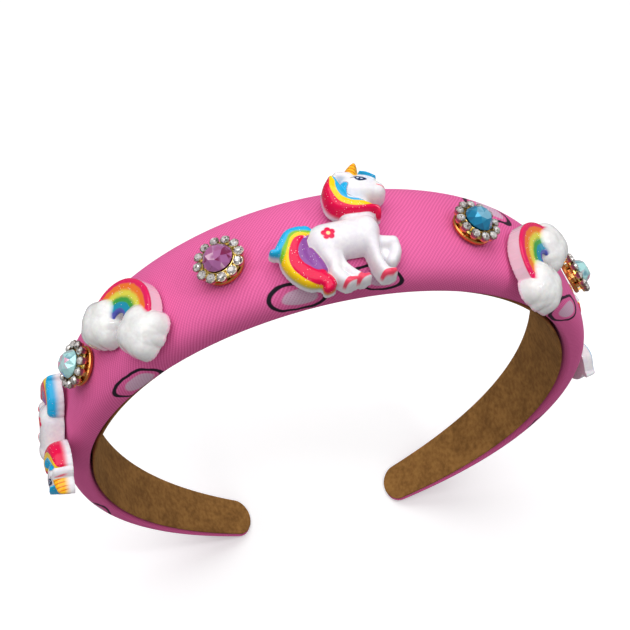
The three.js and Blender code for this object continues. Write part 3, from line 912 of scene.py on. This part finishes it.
def keep_places(mesh):
    """Keeps each vertex's place in the casting, as its material needs it."""
    places = vertex_places(mesh)
    keep_field(mesh, "casting", places)
    return places


def settle(mesh, charm, name, material, replaces, smooth=True):
    """Puts a copy of a charm's mesh in its place on the band."""
    copy = mesh.copy()
    copy.transform(Matrix.Scale(MM, 4) @ seat(charm))
    return dress(copy, name, material, replaces, smooth)


# Unicorn

# Ribs, in millimetres: rows of place (u, v), half width and height. The power squares the section.
UNICORN_RIBS = [
    {"kind": "skin", "power": 2.4, "rows": [  # body
        [-5.0, 1.6, 3.95, 4.8], [-1.0, 1.9, 3.85, 4.8], [2.0, 1.9, 3.8, 4.8]]},
    {"kind": "skin", "power": 2.8, "rows": [  # neck
        [3.3, 2.5, 2.6, 4.5], [2.4, 5.7, 3.4, 3.6], [2.3, 8.3, 3.3, 3.8]]},
    {"kind": "skin", "power": 2.6, "rows": [  # head
        [3.2, 11.9, 3.2, 4.7], [5.4, 11.5, 2.75, 4.7], [7.3, 10.7, 2.05, 4.3]]},
    {"kind": "skin", "power": 2.4, "rows": [  # ear and poll
        [0.4, 14.9, 1.35, 4.2], [0.9, 14.9, 1.3, 4.2], [2.4, 14.4, 1.3, 4.3]]},
    {"kind": "skin", "power": 2.6, "rows": [  # hind leg
        [-5.2, -0.6, 2.6, 4.5], [-4.6, -3.6, 1.6, 4.1], [-4.6, -5.4, 1.5, 3.9],
        [-3.75, -6.8, 1.45, 3.8], [-2.9, -7.5, 1.35, 3.6]]},
    {"kind": "skin", "power": 2.6, "rows": [[-3.0, -8.05, 0.85, 3.6], [-1.8, -7.65, 0.85, 3.6]]},
    {"kind": "skin", "power": 2.6, "rows": [  # far hind leg
        [-3.6, -2.2, 1.5, 3.6], [-3.0, -4.2, 1.2, 3.5], [-1.6, -6.0, 1.15, 3.4], [-0.2, -7.3, 1.2, 3.3]]},
    {"kind": "skin", "power": 2.6, "rows": [[-0.1, -7.65, 0.85, 3.3], [1.0, -7.2, 0.85, 3.3]]},
    {"kind": "skin", "power": 2.6, "rows": [  # front leg
        [3.2, 3.0, 2.3, 4.6], [3.3, 0.2, 1.9, 4.6], [3.4, -2.5, 1.35, 4.3],
        [3.6, -4.8, 1.25, 4.1], [4.2, -6.6, 1.35, 3.9], [4.7, -7.2, 1.3, 3.8]]},
    {"kind": "skin", "power": 2.6, "rows": [[4.1, -7.6, 0.85, 3.8], [5.9, -7.3, 0.85, 3.8]]},
    {"kind": "skin", "power": 2.6, "rows": [  # raised leg and its tucked hoof
        [4.5, -0.1, 1.5, 3.2], [7.4, -0.7, 1.4, 3.2]]},
    {"kind": "skin", "power": 2.6, "rows": [
        [7.6, -1.0, 1.4, 3.2], [7.6, -2.8, 1.3, 3.1], [6.5, -4.5, 1.15, 2.9]]},
    {"kind": "skin", "power": 2.6, "rows": [[5.6, -1.8, 1.3, 1.9], [5.9, -3.4, 1.0, 1.8]]},  # web behind it
    {"kind": "tail", "power": 3.2, "rows": [
        [-8.6, 3.9, 1.8, 3.5], [-10.6, 3.0, 2.5, 3.5], [-11.1, -1.0, 3.2, 3.5], [-9.5, -4.7, 2.5, 3.5],
        [-7.3, -6.2, 1.6, 3.4], [-6.4, -7.4, 1.4, 3.3], [-6.9, -8.3, 0.8, 3.1]]},
    {"kind": "tail", "power": 3.2, "rows": [  # its inner lock
        [-8.6, -0.5, 1.2, 3.3], [-7.9, -2.8, 1.6, 3.3], [-7.4, -4.4, 1.4, 3.3]]},
    {"kind": "tail", "power": 2.6, "rows": [  # its tip
        [-9.6, 4.6, 1.2, 3.4], [-11.5, 4.1, 1.4, 3.4], [-13.1, 2.1, 1.4, 3.3],
        [-14.4, 0.95, 0.95, 3.2], [-15.3, 1.0, 0.75, 3.0]]},
    {"kind": "mane", "power": 3.0, "rows": [
        [-0.9, 14.7, 0.8, 3.9], [-1.2, 12.6, 1.9, 4.2], [-1.1, 10.7, 2.4, 4.4], [-0.7, 9.0, 2.4, 4.5],
        [1.0, 7.6, 1.9, 4.8], [3.2, 7.0, 1.55, 4.9], [5.0, 6.5, 0.95, 4.6], [6.2, 6.1, 0.75, 4.3],
        [6.4, 5.1, 0.5, 3.9]]},
    {"kind": "horn", "power": 2.2, "rows": [
        [3.1, 15.1, 1.75, 4.2], [3.8, 16.4, 1.3, 3.9], [4.3, 17.2, 0.8, 3.6]]},
    {"kind": "forelock", "power": 2.2, "rows": [
        [4.6, 14.4, 0.42, 4.9], [5.9, 13.9, 0.48, 4.9], [7.4, 13.0, 0.45, 4.6]]},
]
SKIN_BLEND = 1.1  # difference in height over which the crease between two ribs is filled
HAIR_BLEND = 0.3

# Outlines of the painted areas; where an area ends at the edge of the casting it runs on past it
TAIL_GREEN = [
    [-8.0, 3.8], [-9.2, 4.1], [-10.6, 4.2], [-11.7, 3.7], [-12.5, 2.5], [-13.5, 1.1], [-14.0, 0.1],
    [-15.5, -2.0], [-15.0, -9.0], [-9.0, -11.0], [-4.0, -10.0], [-4.0, -4.0], [-6.0, 3.6]]
TAIL_YELLOW = [
    [-8.3, 3.4], [-9.7, 3.8], [-10.7, 3.6], [-11.7, 2.8], [-12.3, 1.6], [-13.1, -0.1], [-13.8, -1.1],
    [-15.5, -3.0], [-15.0, -9.0], [-9.0, -11.0], [-4.0, -10.0], [-4.0, -4.0], [-6.0, 3.2]]
TAIL_CRIMSON = [
    [-8.6, 2.9], [-9.8, 3.1], [-10.9, 2.7], [-11.8, 1.5], [-12.5, -0.2], [-12.7, -2.0], [-12.3, -3.6],
    [-11.4, -5.0], [-10.3, -6.2], [-9.0, -7.1], [-7.7, -7.6], [-8.2, -8.4], [-8.0, -10.0], [-4.0, -10.0],
    [-4.0, -4.0], [-6.0, 2.7]]
TAIL_PURPLE = [
    [-8.4, 2.9], [-9.3, 2.4], [-10.2, 1.2], [-10.7, -0.1], [-10.7, -1.5], [-10.1, -2.8], [-9.3, -3.6],
    [-8.2, -4.5], [-7.2, -4.6], [-5.0, -4.4], [-5.0, 2.5], [-7.0, 3.2]]
MANE_YELLOW = [
    [-1.2, 15.0], [-1.6, 13.6], [-1.8, 12.5], [-1.7, 11.1], [-1.2, 9.4], [-0.4, 8.2], [0.8, 7.3],
    [2.3, 6.8], [4.0, 6.7], [5.7, 7.0], [5.4, 7.9], [4.0, 9.9], [1.5, 13.7], [0.0, 15.9]]
MANE_BLUE = [
    [-0.9, 14.9], [-0.5, 13.6], [-0.7, 12.5], [-0.6, 10.9], [-0.1, 9.7], [0.8, 8.8], [1.8, 8.1],
    [3.6, 7.7], [4.1, 8.0], [3.4, 8.8], [2.5, 9.1], [1.4, 9.6], [1.2, 10.4], [1.3, 11.3], [1.7, 12.2],
    [1.1, 13.1], [0.2, 13.7], [-0.3, 14.5]]
EYE = [[3.1, 13.6], [4.4, 13.6], [5.6, 12.4], [4.2, 12.2], [3.4, 12.7]]

# Brush strokes, in millimetres: rows of place (u, v) and half width
HORN_TWISTS = [
    [[2.0, 15.8, 0.13], [3.9, 14.7, 0.13]], [[2.4, 16.5, 0.13], [4.3, 15.4, 0.13]],
    [[3.0, 17.2, 0.13], [4.5, 16.3, 0.13]], [[3.6, 17.7, 0.1], [4.6, 17.2, 0.1]]]
CORAL_BANDS = [
    [[3.0, -8.1, 0.3], [4.2, -7.7, 0.5], [5.3, -7.6, 0.5], [6.6, -7.2, 0.3]],
    [[-3.9, -8.5, 0.3], [-3.0, -7.9, 0.5], [-2.2, -7.6, 0.5], [-1.0, -7.5, 0.3]],
    [[-1.2, -8.2, 0.3], [-0.6, -7.5, 0.6], [0.3, -7.0, 0.65], [1.6, -6.9, 0.4]]]
PINK_MARKS = [
    [[7.2, 11.1, 0.1], [8.0, 10.8, 0.14], [8.9, 10.3, 0.1]],
    [[0.6, 16.2, 0.08], [1.2, 15.9, 0.12], [1.6, 15.4, 0.08]]]
FINE_LINES = [
    [[1.1, 13.2, 0.05], [1.75, 12.3, 0.07], [1.35, 11.3, 0.05], [1.3, 10.3, 0.05], [2.5, 9.2, 0.04]],
    [[2.5, 13.4, 0.07], [3.3, 13.4, 0.1]]]
EYE_GLINTS = [[[3.8, 13.1, 0.17], [4.0, 13.1, 0.17]], [[4.5, 12.8, 0.15], [4.7, 12.7, 0.12]]]
TAIL_FOLD = [[-9.0, -0.4, 0.05], [-8.9, -1.2, 0.1], [-8.3, -1.9, 0.05]]
FLOWER = {"u": -4.7, "v": 1.75, "petal": 0.55, "ring": 0.8, "heart": 0.38}
GROOVE_WIDTH = 0.24
GROOVE_DEPTH = 0.1


def flower_inside(places):
    middle = np.array([FLOWER["u"], FLOWER["v"]])
    petals = []
    for petal in range(5):
        angle = math.radians(18 + 72 * petal)
        centre = middle + FLOWER["ring"] * np.array([math.cos(angle), math.sin(angle)])
        petals.append(FLOWER["petal"] - np.linalg.norm(places - centre, axis=1))
    heart = FLOWER["heart"] - np.linalg.norm(places - middle, axis=1)
    return np.maximum.reduce(petals + [heart + 0.1]), heart


def strokes_inside(strokes, places):
    return np.maximum.reduce([inside(rows, places) for rows in strokes])


def rib_heights(places):
    """Height of the skin, and of each kind of hair or horn that lies on it."""
    heights = {}
    for rib in UNICORN_RIBS:
        kind = rib["kind"]
        height = rib_height(rib["rows"], places, rib["power"])
        width = SKIN_BLEND if kind == "skin" else HAIR_BLEND
        heights[kind] = blended(heights[kind], height, width) if kind in heights else height
    return heights


def on_top(kind, heights):
    """How far one kind of rib stands above all the others."""
    return heights[kind] - np.maximum.reduce([height for other, height in heights.items() if other != kind])


def groove(gap):
    return GROOVE_DEPTH * np.exp(-(gap / GROOVE_WIDTH) ** 2)


def unicorn_height(places):
    heights = rib_heights(places)
    height = np.maximum.reduce(list(heights.values()))
    on_tail, on_mane = on_top("tail", heights) > 0, on_top("mane", heights) > 0
    for outline in (TAIL_YELLOW, TAIL_CRIMSON, TAIL_PURPLE):
        height = height - groove(area_inside(outline, places)) * (on_tail & (height > 1))
    height = height - groove(area_inside(MANE_YELLOW, places)) * (on_mane & (height > 1))
    blue = area_inside(MANE_BLUE, places)
    height = height + 0.35 * soft_step(blue + 0.1, 0.5) * (height > 1)
    height = height - 2 * groove(np.minimum(inside(TAIL_FOLD, places), 0)) * (height > 1)
    petals, heart = flower_inside(places)
    height = height + 0.1 * soft_step(petals, 0.2) + 0.08 * soft_step(heart, 0.15)
    twists = np.minimum(strokes_inside(HORN_TWISTS, places), 0)
    return height - 1.4 * groove(twists) * ((on_top("horn", heights) > 0) & (height > 1))


def paint_fields(places):
    """How far each place lies inside each paint's outline, in millimetres; below 0 outside it."""
    heights = rib_heights(places)
    tail, mane = on_top("tail", heights) / 2, on_top("mane", heights) / 2
    yellow_mane = area_inside(MANE_YELLOW, places)
    petals, heart = flower_inside(places)
    eye = area_inside(EYE, places)
    return {
        "tail_blue": tail,
        "green": np.minimum(tail, area_inside(TAIL_GREEN, places)),
        "yellow": np.maximum(np.minimum(tail, area_inside(TAIL_YELLOW, places)),
                             np.minimum(mane, yellow_mane + 0.2)),
        "crimson": np.maximum.reduce([np.minimum(tail, area_inside(TAIL_CRIMSON, places)),
                                      np.minimum(mane, -yellow_mane), petals]),
        "purple": np.minimum(tail, area_inside(TAIL_PURPLE, places)),
        "blue": np.maximum(area_inside(MANE_BLUE, places), on_top("forelock", heights) / 2 - 0.1),
        "gold": on_top("horn", heights) / 2,
        "orange": np.minimum(strokes_inside(HORN_TWISTS, places), on_top("horn", heights) / 2),
        "coral": strokes_inside(CORAL_BANDS + PINK_MARKS, places),
        "cream": heart,
        "navy": np.maximum(eye, strokes_inside(FINE_LINES, places)),
        "glint": np.minimum(strokes_inside(EYE_GLINTS, places), eye),
    }


def unicorn_mesh():
    mesh = cast("unicorn_casting", (-17.5, -11.0), (10.5, 19.0), unicorn_height)
    places = keep_places(mesh)
    fields = paint_fields(places[:, :2])
    for name, values in fields.items():
        keep_field(mesh, name, values)
    near_crimson = soft_step(fields["crimson"] + 0.25, 0.4)
    keep_field(mesh, "blush", near_crimson * soft_step(places[:, 2] - 0.6, 1.8))
    return mesh


# Rainbow

RAINBOW_RADIUS = 9.1
RAINBOW_HOLLOW = 1.6
RAINBOW_THICKNESS = 3.5
RAINBOW_EDGE = 0.55
CLOUD_WIDTH = 11.4
CLOUD_THICKNESS = 5.4
CLOUD_SPACING = 12.4
CLOUD_DROP = 0.9

# Cloud lumps: place outward and up, radius and height, as shares of the cloud's width and thickness
CLOUD_LUMPS = [
    (-0.02, 0.0, 0.4, 1.0), (0.22, 0.12, 0.28, 0.86), (-0.14, 0.22, 0.27, 0.84), (-0.2, -0.16, 0.28, 0.84),
    (0.14, -0.2, 0.29, 0.86), (0.0, 0.26, 0.2, 0.72), (0.33, -0.06, 0.17, 0.66), (-0.02, -0.31, 0.17, 0.66),
    (-0.31, 0.02, 0.17, 0.66),
]
CLOUD_BLEND = 2.4  # difference in height over which the crease between two lumps is filled
LUMP_POWER = 2.3


def arch_height(places):
    radius = np.linalg.norm(places, axis=1)
    edge = np.minimum(RAINBOW_RADIUS - radius, radius - RAINBOW_HOLLOW)
    edge = np.minimum(edge, places[:, 1])
    round_off = np.clip(edge / RAINBOW_EDGE, 0, 1)
    top = RAINBOW_THICKNESS - RAINBOW_EDGE * (1 - np.sqrt(1 - (1 - round_off) ** 2))
    return np.where(edge > 0, top, edge * WALL_SLOPE)


def cloud_height(places):
    """Two clouds of lumps, with the creases filled so that each reads as one soft form."""
    clouds = []
    for side in (-1, 1):
        cloud = None
        for u, v, radius, tall in CLOUD_LUMPS:
            middle = [side * (CLOUD_SPACING / 2 + u * CLOUD_WIDTH), v * CLOUD_WIDTH - CLOUD_DROP]
            row = middle + [radius * CLOUD_WIDTH, tall * CLOUD_THICKNESS]
            nudged = [row[0] + 0.01, *row[1:]]
            lump = rib_height([row, nudged], places, LUMP_POWER)
            cloud = lump if cloud is None else blended(cloud, lump, CLOUD_BLEND)
        clouds.append(cloud)
    return np.maximum(*clouds)


def rainbow_mesh():
    mesh = cast("rainbow_casting", (-13.0, -7.5), (13.0, 10.0),
                lambda places: np.maximum(arch_height(places), cloud_height(places)))
    places = keep_places(mesh)
    flat = places[:, :2]
    above = arch_height(flat) - np.maximum(cloud_height(flat), 0)
    keep_field(mesh, "arch", np.clip(above, -1, 1) / 2 + 0.1)
    outer = soft_step(np.linalg.norm(flat, axis=1) - RAINBOW_RADIUS + 0.9, 0.6)
    clouded = soft_step(cloud_height(flat) - places[:, 2] + 0.6, 0.5)
    keep_field(mesh, "blush", outer * (1 - clouded))
    return mesh


# Gem stud

GEM_RADIUS = 3.1
GEM_TABLE = 1.75
GEM_GIRDLE = 3.4
GEM_TOP = 5.2
GEM_SIDES = 8
TABLE_RISE = 0.06  # of a table's middle over its edge, as a share of its radius
WAIST_RISE = 0.62  # of the ring between girdle and table, as a share of the height between them
GIRDLE_EDGE = 0.12
BACK_SHARE = 0.85  # of the stone's radius, at its flat back
CHIP_RADIUS = 0.94
CHIP_TABLE = 0.52
CHIP_GIRDLE = 3.0
CHIP_TOP = 3.55
CHIP_COUNT = 12
CHIP_SIDES = 6
CHIP_TILT = 10.0  # outward, in degrees
CUP_FOOT = 3.6
CUP_RIM = 2.4
CHIP_RING = GEM_RADIUS + SEAT_GAP + 0.85  # radius of the circle that the chips stand on


def ring(radius, height, sides, turn=0.0):
    angle = (np.arange(sides) + turn) / sides * 2 * math.pi
    return np.stack([radius * np.cos(angle), radius * np.sin(angle), np.full(sides, height)], -1)


def lathe(profile, sides):
    """Closed ring solid or drum from a closed profile of (radius, height)."""
    points = np.concatenate([ring(r, z, sides) for r, z in profile])
    faces = []
    count = len(profile)
    for i in range(count):
        for side in range(sides):
            a, b = i * sides + side, i * sides + (side + 1) % sides
            shift = ((i + 1) % count - i) * sides
            faces.append((a, b, b + shift, a + shift))
    return points, faces


def cut_gem(radius, table, girdle, top, back, sides):
    """A round cut: a table in wedges, star, kite and half facets, a girdle and a flat back."""
    edge = 2 * sides
    waist = girdle + (top - girdle) * WAIST_RISE
    points = np.concatenate([
        ring(radius * BACK_SHARE, back, edge),
        ring(radius, girdle - GIRDLE_EDGE, edge),
        ring(radius, girdle, edge),
        ring(radius * 0.45 + table * 0.62, waist, sides, 0.5),
        ring(table, top, sides),
        np.array([[0.0, 0.0, top + TABLE_RISE * table]]),
    ])
    g, w, t = 2 * edge, 3 * edge, 3 * edge + sides
    middle = t + sides
    faces = [tuple(reversed(range(edge)))]
    for level in (0, edge):
        for side in range(edge):
            a, b = level + side, level + (side + 1) % edge
            faces.append((a, b, b + edge, a + edge))
    for side in range(sides):
        after = (side + 1) % sides
        faces.append((g + 2 * side, g + 2 * side + 1, w + side))
        faces.append((g + 2 * side + 1, g + 2 * after, w + side))
        faces.append((g + 2 * after, w + after, t + after, w + side))
        faces.append((w + side, t + after, t + side))
        faces.append((t + side, t + after, middle))
    return points, faces


def joined(parts):
    """Several (points, faces) as one."""
    points, faces, start = [], [], 0
    for part_points, part_faces in parts:
        points.append(part_points)
        faces += [tuple(index + start for index in face) for face in part_faces]
        start += len(part_points)
    return np.concatenate(points), faces


def turned_copies(part, count, lift=0.0):
    points, faces = part
    copies = []
    for i in range(count):
        spin = np.array(Matrix.Rotation((i + lift) / count * 2 * math.pi, 3, "Z"))
        copies.append((points @ spin.T, faces))
    return joined(copies)


def moved_out(part, distance, tilt=0.0):
    points, faces = part
    lean = np.array(Matrix.Rotation(math.radians(tilt), 3, "Y"))
    middle = np.array([0, 0, CUP_RIM])
    return (points - middle) @ lean.T + middle + np.array([distance, 0, 0]), faces


def box_part(low, high):
    x0, y0, z0 = low
    x1, y1, z1 = high
    points = np.array([[x, y, z] for x in (x0, x1) for y in (y0, y1) for z in (z0, z1)])
    faces = [(0, 1, 3, 2), (4, 6, 7, 5), (0, 4, 5, 1), (2, 3, 7, 6), (0, 2, 6, 4), (1, 5, 7, 3)]
    return points, faces


def cup_part():
    """The plated cup: a foot ring, posts with windows between them, a drum inside and a scalloped floor."""
    foot = lathe([(2.9, 0.0), (CUP_FOOT + 0.5, 0.0), (CUP_FOOT + 0.75, 0.25), (CUP_FOOT + 0.78, 0.7),
                  (CUP_FOOT + 0.6, 0.95), (CUP_FOOT + 0.2, 0.95), (2.9, 0.75)], 48)
    drum = lathe([(0.3, 0.3), (3.0, 0.3), (3.2, 1.9), (0.3, 1.9)], 36)
    collar = lathe([(3.2, 1.6), (CHIP_RING - 0.3, 1.6), (CHIP_RING + 0.3, 2.0),
                    (CHIP_RING + 0.15, CUP_RIM - 0.05), (3.15, CUP_RIM), (3.15, 1.9)], 48)
    rim = lathe([(GEM_RADIUS + 0.03, 2.3), (GEM_RADIUS + 0.15, 2.3), (GEM_RADIUS + 0.12, 2.85),
                 (GEM_RADIUS + 0.03, 2.9)], 48)
    post = box_part((CUP_FOOT - 0.2, -0.5, 0.7), (CUP_FOOT + 0.4, 0.5, 1.8))
    lobe = moved_out(lathe([(0.05, 1.7), (0.72, 1.8), (0.82, 2.25), (0.05, 2.3)], 12), CHIP_RING)
    return joined([foot, drum, collar, rim, turned_copies(post, 8, 0.5), turned_copies(lobe, CHIP_COUNT)])


def chip_cup_part():
    """The small dark cups that hold the chips, each with four claws."""
    wall = lathe([(0.3, 2.2), (CHIP_RADIUS - 0.12, 2.25), (CHIP_RADIUS + 0.06, 2.9),
                  (CHIP_RADIUS + 0.06, 3.06), (CHIP_RADIUS - 0.08, 3.08), (0.3, 2.5)], 16)
    claw = box_part((CHIP_RADIUS - 0.2, -0.09, 2.9), (CHIP_RADIUS + 0.05, 0.09, 3.22))
    cup = joined([wall, turned_copies(claw, 4, 0.5)])
    return turned_copies(moved_out(cup, CHIP_RING, CHIP_TILT), CHIP_COUNT)


def chips_part():
    chip = cut_gem(CHIP_RADIUS - 0.06, CHIP_TABLE, CHIP_GIRDLE, CHIP_TOP, CUP_RIM, CHIP_SIDES)
    return turned_copies(moved_out(chip, CHIP_RING, CHIP_TILT), CHIP_COUNT)


def charm_mesh(name, part):
    """A charm's mesh, still in millimetres, with its own places kept for its material."""
    points, faces = part
    mesh = bpy.data.meshes.new(name)
    mesh.from_pydata(np.asarray(points).tolist(), [], faces)
    keep_field(mesh, "charm", points)
    return mesh


def facet_light(mesh, seed):
    """Gives each facet its own share of light, the same in every run."""
    values = np.random.default_rng(seed).random(len(mesh.polygons))
    field = mesh.attributes.new("facet", "FLOAT", "FACE")
    field.data.foreach_set("value", values)


# The whole headband

def make_studs():
    gold, dark = copper_gold(), dark_plating()
    chip_stone = cut_stone("chip_stone", *STONE_COLOURS["chip"])
    cup = charm_mesh("cup", cup_part())
    chip_cups = charm_mesh("chip_cups", chip_cup_part())
    gem = cut_gem(GEM_RADIUS, GEM_TABLE, GEM_GIRDLE, GEM_TOP, CUP_RIM + SEAT_GAP, GEM_SIDES)
    kinds = {"pink_stud": "pink", "blue_stud": "blue",
             "left_clear_stud": "clear", "right_clear_stud": "clear"}
    stones = {kind: cut_stone(f"{kind}_stone", *STONE_COLOURS[kind]) for kind in ("pink", "blue", "clear")}
    for seed, (stud, kind) in enumerate(kinds.items()):
        settle(cup, stud, f"{stud}_cup", gold, [f"{stud}_setting"], smooth=False)
        settle(chip_cups, stud, f"{stud}_chip_cups", dark, (), smooth=False)
        chips = charm_mesh("chips", chips_part())
        facet_light(chips, seed)
        settle(chips, stud, f"{stud}_chips", chip_stone, (), smooth=False)
        stone = charm_mesh("gem", gem)
        facet_light(stone, 20 + seed)
        settle(stone, stud, f"{stud}_gem", stones[kind], [f"{stud}_stone"], smooth=False)


def make_castings():
    unicorn = unicorn_mesh()
    full_paint = painted_unicorn("painted_unicorn", 0.7, 2.3)
    bare_walls = painted_unicorn("unicorn_with_bare_walls", 2.6, 3.4)
    paints = {"unicorn_centre": full_paint, "unicorn_left": full_paint, "unicorn_right": bare_walls}
    for charm, paint in paints.items():
        settle(unicorn, charm, f"{charm}_casting", paint, [charm])
    rainbow, rainbow_paint = rainbow_mesh(), painted_rainbow()
    for charm in ("rainbow_left", "rainbow_right"):
        settle(rainbow, charm, f"{charm}_casting", rainbow_paint, [charm])


set_camera()
set_stage()
make_band(pink_cloth())
make_lining(tan_suede())
make_castings()
make_studs()
